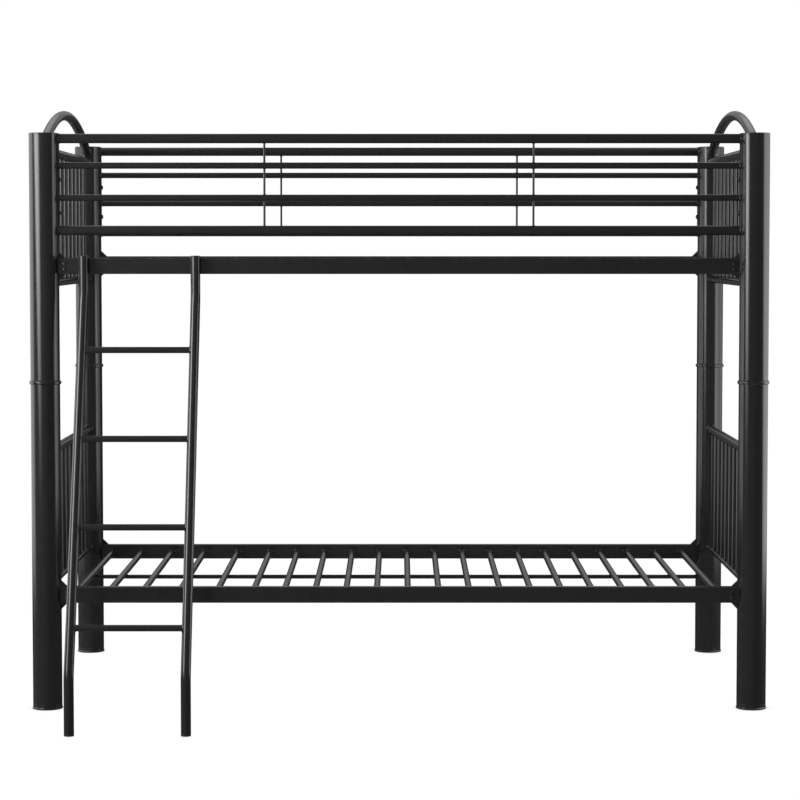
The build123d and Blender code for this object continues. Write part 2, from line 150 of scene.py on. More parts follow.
class Shape:
    """Closed shells of one piece, in millimetres, with a wear value a point."""

    def __init__(self):
        self.v, self.f, self.w = [], [], []

    def rings(self, rings, wear=None, loop=False):
        n, m, o = len(rings[0]), len(rings), len(self.v)
        for k, ring in enumerate(rings):
            self.v.extend(tuple(p) for p in ring)
            wk = wear[k] if wear else 0.0
            self.w.extend([wk] * n)
        for k in range(m if loop else m - 1):
            a, b = o + k * n, o + ((k + 1) % m) * n
            for i in range(n):
                j = (i + 1) % n
                self.f.append((a + i, a + j, b + j, b + i))
        if not loop:
            self.f.append(tuple(o + i for i in reversed(range(n))))
            self.f.append(tuple(o + (m - 1) * n + i for i in range(n)))

    def lathe(self, prof, c, a=(0, 0, 1), seg=64, loop=False):
        """Turned shell from (radius, height, wear) points about the axis a at c."""
        c, a = Vector(c), Vector(a).normalized()
        e1, e2 = frame_of(a)
        spin = [e1 * math.cos(2 * math.pi * i / seg) + e2 * math.sin(2 * math.pi * i / seg) for i in range(seg)]
        rows = []
        for r, h, w in prof:
            if r < 1e-6:
                rows.append([len(self.v)])
                self.v.append(tuple(c + a * h))
                self.w.append(w)
            else:
                o = len(self.v)
                rows.append(list(range(o, o + seg)))
                self.v.extend(tuple(c + a * h + n * r) for n in spin)
                self.w.extend([w] * seg)
        pairs = list(zip(rows[:-1], rows[1:]))
        if loop:
            pairs.append((rows[-1], rows[0]))
        for p, q in pairs:
            for i in range(seg):
                j = (i + 1) % seg
                if len(p) == 1 and len(q) == 1:
                    continue
                if len(p) == 1:
                    self.f.append((p[0], q[j], q[i]))
                elif len(q) == 1:
                    self.f.append((p[i], p[j], q[0]))
                else:
                    self.f.append((p[i], p[j], q[j], q[i]))

    def bar(self, c0, c1, r, h0=None, h1=None, seg=40, sink=0.6, step=90.0):
        """Round bar whose ends are cut to the surfaces h0 and h1 that it meets."""
        c0, c1 = Vector(c0), Vector(c1)
        a = (c1 - c0).normalized()
        e1, e2 = frame_of(a)
        first, last = [], []
        for i in range(seg):
            g = 2 * math.pi * i / seg
            n = e1 * math.cos(g) + e2 * math.sin(g)
            q0, q1 = c0 + n * r, c1 + n * r
            first.append(q0 + a * ((h0(q0, a) - sink) if h0 else 0.0))
            last.append(q1 - a * ((h1(q1, -a) - sink) if h1 else 0.0))
        m = max(1, int((c1 - c0).length / step))
        rings = [[p.lerp(q, k / m) for p, q in zip(first, last)] for k in range(m + 1)]
        self.rings(rings)

    def sweep(self, pts, r, side, seg=40, h0=None, h1=None, sink=0.6):
        """Round bar along a flat path; side is square to the path's plane."""
        pts = [Vector(p) for p in pts]
        side = Vector(side)
        rings = []
        for i, p in enumerate(pts):
            t = (pts[min(i + 1, len(pts) - 1)] - pts[max(i - 1, 0)]).normalized()
            up = side.cross(t)
            ring = [p + side * (r * math.cos(2 * math.pi * k / seg)) + up * (r * math.sin(2 * math.pi * k / seg))
                    for k in range(seg)]
            if i == 0 and h0:
                ring = [q + t * (h0(q, t) - sink) for q in ring]
            if i == len(pts) - 1 and h1:
                ring = [q - t * (h1(q, -t) - sink) for q in ring]
            rings.append(ring)
        self.rings(rings)

    def prism(self, outline, place, d0, d1, b=0.8):
        """Flat plate: outline of (u, v) swept from depth d0 to d1, its edges eased by b."""
        pts = [Vector(p[:2]) for p in outline]
        m = len(pts)
        area = sum(pts[i].x * pts[(i + 1) % m].y - pts[(i + 1) % m].x * pts[i].y for i in range(m))
        if area < 0:
            pts.reverse()
        inset = []
        for i in range(m):
            e0 = (pts[i] - pts[i - 1]).normalized()
            e1 = (pts[(i + 1) % m] - pts[i]).normalized()
            n0, n1 = Vector((-e0.y, e0.x)), Vector((-e1.y, e1.x))
            inset.append((n0 + n1) / max(0.35, 1.0 + n0.dot(n1)))
        rows = [(b, 0.0, 0.0), (0.55 * b, 0.12 * b, 0.5), (0.2 * b, 0.4 * b, 1.0), (0.0, b, 0.4), (0.0, b + 0.8, 0.0)]
        rings, wear = [], []
        for k, d, w in rows:
            rings.append([place(p.x + q.x * k, p.y + q.y * k, d0 + d) for p, q in zip(pts, inset)])
            wear.append(w)
        for k, d, w in reversed(rows):
            rings.append([place(p.x + q.x * k, p.y + q.y * k, d1 - d) for p, q in zip(pts, inset)])
            wear.append(w)
        self.rings(rings, wear)

    def weld(self, outline, a, hit, w, seed):
        """Lumpy fillet along an outline of (point, outward) where a bar that runs
        along a meets the surface that hit measures to."""
        a = Vector(a).normalized()
        rows = [[] for _ in range(7)]
        for q, o in outline:
            k = 1.0 + 0.16 * noise.noise(q * 0.16 + Vector((seed * 7.3, seed * 1.7, 0.0)))
            k += 0.07 * noise.noise(q * 0.55 + Vector((0.0, seed * 3.9, seed * 5.1)))
            wi = w * k
            for j in range(6):
                f = j / 5
                p = q + o * (f * wi)
                p = p + a * (hit(p, a) + (1 - f) * wi) + (o + a) * (0.07 * wi * math.sin(math.pi * f))
                if j == 0:
                    p = p - o * 0.4
                if j == 5:
                    p = p - a * 0.4
                rows[j].append(p)
            rows[6].append(q - o * 0.9 + a * (hit(q, a) - 0.9))
        self.rings(rows, loop=True)

    def weld_round(self, c, a, r, hit, w, seed, seg=44):
        c, a = Vector(c), Vector(a).normalized()
        e1, e2 = frame_of(a)
        outline = []
        for i in range(seg):
            g = 2 * math.pi * i / seg
            n = e1 * math.cos(g) + e2 * math.sin(g)
            outline.append((c + n * r, n))
        self.weld(outline, a, hit, w, seed)

    def bolt(self, p, d, head_r, head_h, shank_r, shank_l, key):
        """Dome-head bolt with a six-sided key recess; p is under the head."""
        seg = 48
        p, d = Vector(p), Vector(d).normalized()
        e1, e2 = frame_of(d)
        rows = [(shank_r - 0.8, -shank_l, 0.0), (shank_r, 0.8 - shank_l, 0.0), (shank_r, 0.0, 0.0),
                (head_r - 0.25, 0.0, 0.3), (head_r, 0.25, 0.8), (head_r, 0.25 * head_h, 0.6)]
        n = 8
        for i in range(n - 1, 0, -1):
            g = math.pi / 2 * i / n
            r = head_r * math.sin(g)
            if r > key * 1.28:
                rows.append((r, 0.25 * head_h + 0.75 * head_h * math.cos(g), 0.25))
        rings, wear = [], []
        for r, h, w in rows:
            rings.append([p + d * h + (e1 * math.cos(2 * math.pi * i / seg) + e2 * math.sin(2 * math.pi * i / seg)) * r
                          for i in range(seg)])
            wear.append(w)

        def dome(r):
            return 0.25 * head_h + 0.75 * head_h * math.sqrt(max(0.0, 1 - (r / head_r) ** 2))

        for grow, drop, w in ((1.06, 0.0, 0.9), (1.0, 0.18, 0.9), (0.98, 0.5 * head_h, 0.0), (0.55, 0.58 * head_h, 0.0)):
            ring = []
            for i in range(seg):
                g = 2 * math.pi * i / seg
                flat = (g + math.pi / 6) % (math.pi / 3) - math.pi / 6
                r = key / math.cos(flat) * grow
                h = dome(key * 1.08) - drop
                ring.append(p + d * h + (e1 * math.cos(g) + e2 * math.sin(g)) * r)
            rings.append(ring)
            wear.append(w)
        self.rings(rings, wear)


def round_exit(point, axis, radius):
    """How far a point travels along d before it leaves this cylinder."""
    p, ax = Vector(point), Vector(axis).normalized()

    def hit(q, d):
        w = q - p
        w = w - ax * w.dot(ax)
        e = d - ax * d.dot(ax)
        qa, qb, qc = e.dot(e), 2 * w.dot(e), w.dot(w) - radius * radius
        return (-qb + math.sqrt(max(0.0, qb * qb - 4 * qa * qc))) / (2 * qa)

    return hit


def flat_exit(point, normal):
    p, n = Vector(point), Vector(normal)
    return lambda q, d: (p - q).dot(n) / d.dot(n)


# ---------------------------------------------------------------------------
# materials
# ---------------------------------------------------------------------------
def coated(name, dark, light, rough, peel, grain, worn, worn_rough):
    """Black finish with tone drift, dust on top faces, fine texture and rubbed edges."""
    m = bpy.data.materials.new(name)
    m.use_nodes = True
    nt = m.node_tree
    nodes, links = nt.nodes, nt.links
    bsdf = nodes["Principled BSDF"]
    bsdf.inputs["Metallic"].default_value = 0.0
    bsdf.inputs["IOR"].default_value = 1.5

    def node(kind, **sets):
        n = nodes.new(kind)
        for k, v in sets.items():
            setattr(n, k, v)
        return n

    def noise_tex(scale, detail, roughness=0.5):
        n = node("ShaderNodeTexNoise")
        n.inputs["Scale"].default_value = scale
        n.inputs["Detail"].default_value = detail
        n.inputs["Roughness"].default_value = roughness
        links.new(coord.outputs["Object"], n.inputs["Vector"])
        return n

    def spread(src, lo, hi, a, b):
        n = node("ShaderNodeMapRange")
        n.inputs["From Min"].default_value = lo
        n.inputs["From Max"].default_value = hi
        n.inputs["To Min"].default_value = a
        n.inputs["To Max"].default_value = b
        links.new(src, n.inputs["Value"])
        return n.outputs["Result"]

    def math_node(op, x, y, clamp=False):
        n = node("ShaderNodeMath", operation=op, use_clamp=clamp)
        for k, s in enumerate((x, y)):
            if isinstance(s, (int, float)):
                n.inputs[k].default_value = s
            else:
                links.new(s, n.inputs[k])
        return n.outputs[0]

    def mix(fac, a, b):
        n = node("ShaderNodeMix", data_type="RGBA")
        links.new(fac, n.inputs[0])
        for k, s in ((6, a), (7, b)):
            if isinstance(s, tuple):
                n.inputs[k].default_value = (*s, 1.0)
            else:
                links.new(s, n.inputs[k])
        return n.outputs[2]

    coord = node("ShaderNodeTexCoord")
    drift = noise_tex(2.3, 3.0, 0.55)
    cloud = noise_tex(38.0, 4.0, 0.6)
    skin = noise_tex(peel[0], 2.0, 0.5)
    fine = noise_tex(grain[0], 1.0, 0.5)

    # tone: slow drift over the piece, a little mottling inside it
    tone = math_node("ADD", math_node("MULTIPLY", drift.outputs["Fac"], 0.65), math_node("MULTIPLY", cloud.outputs["Fac"], 0.35))
    base = mix(spread(tone, 0.36, 0.64, 0.0, 1.0), dark, light)

    # a breath of dust where the surface faces up
    geo = node("ShaderNodeNewGeometry")
    sep = node("ShaderNodeSeparateXYZ")
    links.new(geo.outputs["Normal"], sep.inputs[0])
    dust = math_node("MULTIPLY", spread(sep.outputs["Z"], 0.55, 1.0, 0.0, 1.0), spread(cloud.outputs["Fac"], 0.35, 0.75, 0.0, 1.0))
    base = mix(math_node("MULTIPLY", dust, 0.16), base, (0.030, 0.0295, 0.0285))

    # rubbed edges, broken up by noise
    att = node("ShaderNodeAttribute", attribute_name="wear")
    rub = math_node("MULTIPLY", att.outputs["Fac"], spread(cloud.outputs["Fac"], 0.42, 0.66, 0.0, 1.0), True)
    base = mix(math_node("MULTIPLY", rub, 0.8), base, worn)
    links.new(base, bsdf.inputs["Base Color"])

    # gloss
    r = spread(cloud.outputs["Fac"], 0.3, 0.7, rough[0], rough[1])
    r = math_node("ADD", r, spread(fine.outputs["Fac"], 0.35, 0.65, -0.012, 0.012))
    r = math_node("ADD", r, math_node("MULTIPLY", rub, worn_rough))
    r = math_node("ADD", r, math_node("MULTIPLY", dust, 0.07), True)
    links.new(r, bsdf.inputs["Roughness"])

    # flow texture of the coat, then its finest grain
    b1 = node("ShaderNodeBump")
    b1.inputs["Strength"].default_value = peel[1]
    b1.inputs["Distance"].default_value = 0.0004
    links.new(skin.outputs["Fac"], b1.inputs["Height"])
    b2 = node("ShaderNodeBump")
    b2.inputs["Strength"].default_value = grain[1]
    b2.inputs["Distance"].default_value = 0.0001
    links.new(fine.outputs["Fac"], b2.inputs["Height"])
    links.new(b1.outputs["Normal"], b2.inputs["Normal"])
    links.new(b2.outputs["Normal"], bsdf.inputs["Normal"])
    return m


COAT = coated("black_powder_coat", (0.0150, 0.0150, 0.0154), (0.0215, 0.0213, 0.0213), (0.14, 0.19),
              (420.0, 0.025), (2600.0, 0.012), (0.060, 0.059, 0.057), 0.12)
PLASTIC = coated("black_plastic", (0.0110, 0.0110, 0.0114), (0.0165, 0.0163, 0.0163), (0.16, 0.22),
                 (900.0, 0.05), (3600.0, 0.08), (0.045, 0.044, 0.043), 0.10)
PLASTIC.node_tree.nodes["Principled BSDF"].inputs["IOR"].default_value = 1.58
BOLT = coated("black_bolt", (0.0150, 0.0150, 0.0155), (0.0225, 0.0222, 0.0218), (0.18, 0.24),
              (700.0, 0.04), (3000.0, 0.03), (0.060, 0.058, 0.055), 0.08)


def piece(node, shape, body, slot="black_powder_coat", sharp=38.0):
    """Makes the mesh, and has it stand for the CAD node on its body."""
    me = bpy.data.meshes.new("vis_" + node)
    me.from_pydata([(x * MM, y * MM, z * MM) for x, y, z in shape.v], [], shape.f)
    at = me.attributes.new("wear", "FLOAT", "POINT")
    at.data.foreach_set("value", shape.w)
    bm = bmesh.new()
    bm.from_mesh(me)
    bmesh.ops.recalc_face_normals(bm, faces=bm.faces[:])
    bm.to_mesh(me)
    bm.free()
    me.polygons.foreach_set("use_smooth", [True] * len(me.polygons))
    me.set_sharp_from_angle(angle=math.radians(sharp))
    me.materials.append({"black_powder_coat": COAT, "black_plastic": PLASTIC, "black_bolt": BOLT}[slot])
    ob = bpy.data.objects.new("vis_" + node, me)
    scene.collection.objects.link(ob)
    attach(ob, body)
    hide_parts(node)
    return ob


def rounded_box(hu, hv, r, n=6):
    pts = soften([(-hu, -hv, r), (hu, -hv, r), (hu, hv, r), (-hu, hv, r)], closed=True, n=n, spread=1.0)
    return pts


# ---------------------------------------------------------------------------
# corner posts, couplers and caps
# ---------------------------------------------------------------------------
def post(z0, z1):
    ro, ri = POST_R, POST_R - POST_T
    return soften([(ri, z0, 0.3), (ro, z0, 0.45), (ro, z1, 0.45), (ri, z1, 0.3)], closed=True, n=3, spread=1.5)


feet, tops, couplers = Shape(), Shape(), Shape()
for name, x, y in CORNERS:
    s = Shape()
    s.lathe(post(FOOT_H, RING_Z0), (x, y, 0), seg=112, loop=True)
    piece("lower_post_" + name, s, "lower_bunk")
    s = Shape()
    s.lathe(post(RING_Z1 + SEAT_GAP, POST_TOP - CAP_H), (x, y, 0), seg=112, loop=True)
    piece("upper_post_" + name, s, "upper_bunk")

    rp = POST_R - POST_T - 0.2
    feet.lathe(soften([(0, 0.6, 0), (FOOT_R - 9.0, 0.6, 0.3), (FOOT_R - 8.4, 0, 0.3), (FOOT_R, 0, 2.6), (FOOT_R, 4.7, 1.3),
                       (POST_R - GAP, FOOT_RIM, 0.9), (POST_R - GAP, FOOT_H - GAP, 0.6), (rp, FOOT_H - GAP, 0), (rp, FOOT_H + 20, 0.6), (rp - 1.4, FOOT_H + 24, 0.6),
                       (rp - 3.8, FOOT_H + 24, 0.4), (rp - 3.8, 5.0, 0), (0, 5.0, 0)], n=5, spread=0.8),
               (x, y, 0), seg=112)

    zc = POST_TOP - CAP_H + GAP
    tops.lathe(soften([(0, POST_TOP, 0), (POST_R - 0.05, POST_TOP, 2.2), (POST_R - 0.05, zc, 0.3), (rp, zc, 0),
                       (rp, zc - 16, 0.6), (rp - 1.4, zc - 20, 0.6), (rp - 3.8, zc - 20, 0.4),
                       (rp - 3.8, POST_TOP - 3.0, 0), (0, POST_TOP - 3.0, 0)], n=6, spread=1.2),
               (x, y, 0), seg=112)

    ri, rs, rl = POST_R - POST_T - 3.6, POST_R - POST_T - 0.5, POST_R - POST_T - 0.15
    couplers.lathe(soften([(ri, RING_Z0 - SPIGOT_DN, 0.5), (rl - 1.5, RING_Z0 - SPIGOT_DN, 0.6), (rl, RING_Z0 - SPIGOT_DN + 4, 0.6),
                           (rl, RING_Z0 + GAP, 0), (RING_R, RING_Z0 + GAP, 2.9), (RING_R, RING_Z1, 2.9), (rs, RING_Z1, 0.4),
                           (rs, RING_Z1 + SPIGOT_UP - 22, 4.0), (rs - 2.6, RING_Z1 + SPIGOT_UP, 0.8),
                           (ri, RING_Z1 + SPIGOT_UP, 0.5)], closed=True, n=5, spread=0.8),
                   (x, y, 0), seg=112, loop=True)
piece("foot_caps", feet, "lower_bunk", "black_plastic")
piece("post_top_caps", tops, "upper_bunk", "black_plastic")
piece("post_couplers", couplers, "lower_bunk")


# ---------------------------------------------------------------------------
# side rails, gussets, bolts and slats
# ---------------------------------------------------------------------------
def side_rail(y, z0):
    s = Shape()
    zc = z0 + SR_H / 2
    prof = rounded_box(SR_W / 2, SR_H / 2, SR_R, n=7)
    wear = [p[2] for p in prof]
    n = 22
    o = len(s.v)
    rings = [[(-SR_END + 2 * SR_END * k / n, y + u, zc + v) for u, v, _ in prof] for k in range(n + 1)]
    s.rings(rings)
    for k in range(n + 1):
        for i, w in enumerate(wear):
            s.w[o + k * len(prof) + i] = 0.55 * w
    return s


def gusset(s, x, y, z0, seed):
    sx = -1 if x > 0 else 1
    limb, wing, end = x + sx * POST_R, sx * -WING_X, sx * -(SR_END + GAP)
    zb, zt = z0 - BR_DN, z0 + SR_H + BR_UP
    out = soften([(limb - sx * 3.0, zb, 0), (limb + sx * 1.0, zb, 1.6), (wing, z0 - GAP, 0.25), (end, z0 - GAP, 0), (end, z0 + SR_H + GAP, 0),
                  (wing, z0 + SR_H + GAP, 0.25), (limb + sx * 1.0, zt, 1.6), (limb - sx * 3.0, zt, 0)], closed=True, n=4, spread=0.7)
    place = lambda u, v, d: Vector((u, y + d, v))
    s.prism(out, place, -BR_T / 2, BR_T / 2, b=0.7)
    # block that closes the end of the rail
    half, ha = (SR_W - 1.0) / 2, (SR_H - 1.0) / 2
    zc = z0 + SR_H / 2
    s.prism([(limb - sx * 3.0, zc - ha), (end, zc - ha), (end, zc + ha), (limb - sx * 3.0, zc + ha)], place, -half, half, b=0.9)
    # thin beads, where plate and block meet the post
    for hu, z_lo, z_hi, k in ((BR_T / 2, zb, zt, 0.0), (half, zc - ha, zc + ha, 7.7)):
        hz, zm = (z_hi - z_lo) / 2, (z_hi + z_lo) / 2
        loop = soften([(-hu, -hz, 1.6), (hu, -hz, 1.6), (hu, hz, 1.6), (-hu, hz, 1.6)], closed=True, n=6, spread=1.2)
        pts = []
        for i, (u, v, _) in enumerate(loop):
            u1, v1, _ = loop[(i + 1) % len(loop)]
            m = max(1, int(math.hypot(u1 - u, v1 - v) / 1.6))
            pts.extend((u + (u1 - u) * j / m, v + (v1 - v) * j / m) for j in range(m))
        outline = []
        for i, (u, v) in enumerate(pts):
            pu, pv = pts[i - 1]
            nu, nv = pts[(i + 1) % len(pts)]
            t = Vector((nu - pu, nv - pv)).normalized()
            outline.append((Vector((x, y + u, zm + v)), Vector((0, t.y, -t.x))))
        s.weld(outline, (sx, 0, 0), round_exit((x, y, 0), (0, 0, 1), POST_R), 1.0, seed + k)


def deck(z0, seed):
    s = Shape()
    zc = z0 + SLAT_TOP - SLAT_R
    hf = flat_exit((0, YF + SR_W / 2, 0), (0, 1, 0))
    hb = flat_exit((0, YB - SR_W / 2, 0), (0, 1, 0))
    for i, x in enumerate(SLAT_X):
        s.bar((x, YF, zc), (x, YB, zc), SLAT_R, hf, hb, seg=36, sink=0.3)
        s.weld_round((x, YF, zc), (0, 1, 0), SLAT_R, hf, 1.4, seed + i * 0.37, seg=40)
        s.weld_round((x, YB, zc), (0, -1, 0), SLAT_R, hb, 1.4, seed + 50 + i * 0.37, seg=40)
    return s, zc


def centre_bar(zc, seed):
    s = Shape()
    zb = zc - SLAT_R - BAR_R - GAP
    L = BAR_X1 - BAR_X0
    r, ri = BAR_R, BAR_R - 1.0
    # open at both ends, with a rolled rim
    prof = soften([(0, 14.0, 0), (ri, 14.0, 0), (ri, 0, 0.35), (r, 0, 0.45), (r, L, 0.45), (ri, L, 0.35), (ri, L - 14.0, 0), (0, L - 14.0, 0)],
                  n=3, spread=0.8)
    s.lathe(prof, (BAR_X0, Y_SHIFT, zb), (1, 0, 0), seg=36)
    # tack weld under every slat
    for i, x in enumerate(SLAT_X):
        k = 1.0 + 0.18 * noise.noise(Vector((x * 0.31, seed, 0.5)))
        zt = zb + BAR_R
        s.lathe([(0, -2.8, 0), (3.9 * k, -2.6, 0), (3.5 * k, -0.9, 0), (3.3 * k, 0.2, 0), (3.6 * k, 1.2, 0), (4.1 * k, 2.6, 0), (0, 2.9, 0)],
                (x, Y_SHIFT, zt), seg=20)
    return s


for tier, z0, body in (("lower", SR_LOW, "lower_bunk"), ("upper", SR_UP, "upper_bunk")):
    piece(tier + "_side_rail_front", side_rail(YF, z0), body)
    piece(tier + "_side_rail_back", side_rail(YB, z0), body)
    brackets, bolts = Shape(), Shape()
    for i, (name, x, y) in enumerate(CORNERS):
        sx, oy = (-1 if x > 0 else 1), (-1 if y < Y_SHIFT else 1)
        gusset(brackets, x, y, z0, 3.1 + i + z0 * 0.01)
        for dz in BOLT_DZ:
            bolts.bolt((sx * -BOLT_X, y + oy * (SR_W / 2 + GAP), z0 + dz), (0, oy, 0), 5.4, 3.2, 2.9, 14.0, 1.9)
    piece(tier + "_rail_brackets", brackets, body)
    piece(tier + "_rail_bolts", bolts, body, "black_bolt")
    slats, zc = deck(z0, 11.0 + z0 * 0.01)
    piece(tier + "_slats", slats, body)
    piece(tier + "_centre_bar", centre_bar(zc, z0 * 0.02), body)


# ---------------------------------------------------------------------------
# end panels
# ---------------------------------------------------------------------------
def end_rail(x, z, r, seed):
    s = Shape()
    hf = round_exit((x, YF, 0), (0, 0, 1), POST_R)
    hb = round_exit((x, YB, 0), (0, 0, 1), POST_R)
    s.bar((x, YF, z), (x, YB, z), r, hf, hb, seg=44)
    s.weld_round((x, YF, z), (0, 1, 0), r, hf, 2.0, seed, seg=60)
    s.weld_round((x, YB, z), (0, -1, 0), r, hb, 2.0, seed + 4.4, seg=60)
    return s


def spindles(x, zb, rb, zt, rt, seed):
    s = Shape()
    hb = round_exit((x, 0, zb), (0, 1, 0), rb)
    ht = round_exit((x, 0, zt), (0, 1, 0), rt)
    for i in range(SPIN_N):
        y = Y_SHIFT + (i - (SPIN_N - 1) / 2) * SPIN_PITCH
        s.bar((x, y, zb), (x, y, zt), SPIN_R, hb, ht, seg=36, sink=0.4)
        s.weld_round((x, y, zb), (0, 0, 1), SPIN_R, hb, 1.3, seed + i, seg=36)
        s.weld_round((x, y, zt), (0, 0, -1), SPIN_R, ht, 1.3, seed + i + 20, seg=36)
    return s


def arch(x, seed):
    s = Shape()
    zc, h = ARCH_APEX - ARCH_BEND, POST_W / 2
    g = math.asin(h / ARCH_BEND)
    n = 72
    pts = []
    for k in range(n + 1):
        a = -g + 2 * g * k / n
        pts.append((x, Y_SHIFT + ARCH_BEND * math.sin(a), zc + ARCH_BEND * math.cos(a)))
    # the first and last stretch lie inside the posts
    keep = [p for p in pts if abs(p[1] - Y_SHIFT) < h - 44.0]
    pts = [pts[0]] + keep + [pts[-1]]
    hf = round_exit((x, YF, 0), (0, 0, 1), POST_R)
    hb = round_exit((x, YB, 0), (0, 0, 1), POST_R)
    s.sweep(pts, ARCH_R, (1, 0, 0), seg=44, h0=hf, h1=hb)
    t0 = (Vector(keep[0]) - Vector(pts[0])).normalized()
    t1 = (Vector(keep[-1]) - Vector(pts[-1])).normalized()
    s.weld_round(pts[0], t0, ARCH_R, hf, 2.0, seed, seg=60)
    s.weld_round(pts[-1], t1, ARCH_R, hb, 2.0, seed + 2.2, seg=60)
    return s


for k, (side, x) in enumerate((("left", -POST_X), ("right", POST_X))):
    q = 100.0 * k
    piece("lower_%s_top_rail" % side, end_rail(x, LO_TOP_Z, RAIL_R, q + 1), "lower_bunk")
    piece("lower_%s_bottom_rail" % side, end_rail(x, LO_BOT_Z, LO_BOT_R, q + 2), "lower_bunk")
    piece("lower_%s_spindles" % side, spindles(x, LO_BOT_Z, LO_BOT_R, LO_TOP_Z, RAIL_R, q + 3), "lower_bunk")
    piece("upper_%s_top_rail" % side, end_rail(x, UP_TOP_Z, RAIL_R, q + 4), "upper_bunk")
    piece("upper_%s_bottom_rail" % side, end_rail(x, UP_BOT_Z, UP_BOT_R, q + 5), "upper_bunk")
    piece("upper_%s_spindles" % side, spindles(x, UP_BOT_Z, UP_BOT_R, UP_TOP_Z, RAIL_R, q + 6), "upper_bunk")
    piece("upper_%s_arch" % side, arch(x, q + 7), "upper_bunk")


# ---------------------------------------------------------------------------
# guard panels
# ---------------------------------------------------------------------------
def guard_rail(s, y, z, r, seed):
    rs = POST_R + GAP + STRAP_T
    hl = round_exit((-POST_X, y, 0), (0, 0, 1), rs)
    hr = round_exit((POST_X, y, 0), (0, 0, 1), rs)
    s.bar((-POST_X, y, z), (POST_X, y, z), r, hl, hr, seg=44, sink=0.4)
    s.weld_round((-POST_X, y, z), (1, 0, 0), r, hl, 1.7, seed, seg=52)
    s.weld_round((POST_X, y, z), (-1, 0, 0), r, hr, 1.7, seed + 9, seg=52)


def strap(s, x, y):
    sx = -1 if x > 0 else 1
    r0, r1 = POST_R + GAP, POST_R + GAP + STRAP_T
    z0, z1 = GD - RAIL_R - 1.0, GA + RAIL_R - 0.5
    n = 22
    out = []
    for k in range(n + 1):
        g = math.radians(-STRAP_HALF + 2 * STRAP_HALF * k / n)
        out.append((r1 * math.cos(g), r1 * math.sin(g)))
    g0 = math.asin(r1 * math.sin(math.radians(STRAP_HALF)) / r0)
    for k in range(n + 1):
        g = g0 - 2 * g0 * k / n
        out.append((r0 * math.cos(g), r0 * math.sin(g)))
    s.prism(out, lambda u, v, d: Vector((x + sx * u, y + v, d)), z0, z1, b=0.7)


guard_bolts = Shape()
for k, (side, y) in enumerate((("front", YF), ("back", YB))):
    q = 300.0 + 50.0 * k
    s = Shape(); guard_rail(s, y, GA, RAIL_R, q); piece(side + "_guard_top_rail", s, "upper_bunk")
    s = Shape(); guard_rail(s, y, GB, MID_R, q + 1); guard_rail(s, y, GC, MID_R, q + 2); piece(side + "_guard_mid_rails", s, "upper_bunk")
    s = Shape(); guard_rail(s, y, GD, RAIL_R, q + 3); piece(side + "_guard_bottom_rail", s, "upper_bunk")
    s = Shape()
    levels = [(GD, RAIL_R), (GC, MID_R), (GB, MID_R), (GA, RAIL_R)]
    for x in ROD_X:
        for j, ((za, ra), (zb, rb)) in enumerate(zip(levels[:-1], levels[1:])):
            ha, hb = round_exit((0, y, za), (1, 0, 0), ra), round_exit((0, y, zb), (1, 0, 0), rb)
            s.bar((x, y, za), (x, y, zb), ROD_R, ha, hb, seg=28, sink=0.3)
            s.weld_round((x, y, za), (0, 0, 1), ROD_R, ha, 1.1, q + x * 0.1 + j, seg=28)
            s.weld_round((x, y, zb), (0, 0, -1), ROD_R, hb, 1.1, q + x * 0.1 + j + 5, seg=28)
    piece(side + "_guard_uprights", s, "upper_bunk")
    s = Shape(); strap(s, -POST_X, y); strap(s, POST_X, y); piece(side + "_guard_end_straps", s, "upper_bunk")
    for x in (-POST_X, POST_X):
        sx = -1 if x > 0 else 1
        for z in GBOLT_Z:
            guard_bolts.bolt((x + sx * (POST_R + STRAP_T + 3 * GAP), y, z), (sx, 0, 0), 6.6, 4.4, 3.9, 22.0, 2.4)
piece("guard_bolts", guard_bolts, "upper_bunk", "black_bolt")


# ---------------------------------------------------------------------------
# ladder
# ---------------------------------------------------------------------------
def ladder_rail(x):
    s = Shape()
    path = soften([(LAD_Y0, LAD_ZT, 0), (LAD_Y0, LAD_Z0, LAD_BEND), (LAD_Y1, LAD_Z1, LAD_BEND), (LAD_Y1, LAD_FOOT, 0)], n=22, spread=10.0)
    pts = []
    for (y0, z0, _), (y1, z1, _) in zip(path[:-1], path[1:]):
        m = max(1, int(math.hypot(y1 - y0, z1 - z0) / 80.0))
        pts.extend((x, y0 + (y1 - y0) * i / m, z0 + (z1 - z0) * i / m) for i in range(m))
    pts.append((x, path[-1][0], path[-1][1]))
    s.sweep(pts, LAD_R, (1, 0, 0), seg=48)
    return s


for side, x in zip(("left", "right"), LAD_X):
    piece("ladder_rail_" + side, ladder_rail(x), "ladder")

slope = (LAD_Y0 - LAD_Y1) / (LAD_Z0 - LAD_Z1)
lean = Vector((0.0, slope, 1.0)).normalized()
for i, z in enumerate(RUNG_Z):
    y = LAD_Y1 + slope * (z - LAD_Z1)
    hl, hr = round_exit((LAD_X[0], y, z), lean, LAD_R), round_exit((LAD_X[1], y, z), lean, LAD_R)
    s = Shape()
    s.bar((LAD_X[0], y, z), (LAD_X[1], y, z), MID_R, hl, hr, seg=44, sink=0.5, step=40.0)
    s.weld_round((LAD_X[0], y, z), (1, 0, 0), MID_R, hl, 1.7, 500 + i, seg=52)
    s.weld_round((LAD_X[1], y, z), (-1, 0, 0), MID_R, hr, 1.7, 520 + i, seg=52)
    piece("ladder_rung_%d" % (i + 1), s, "ladder")

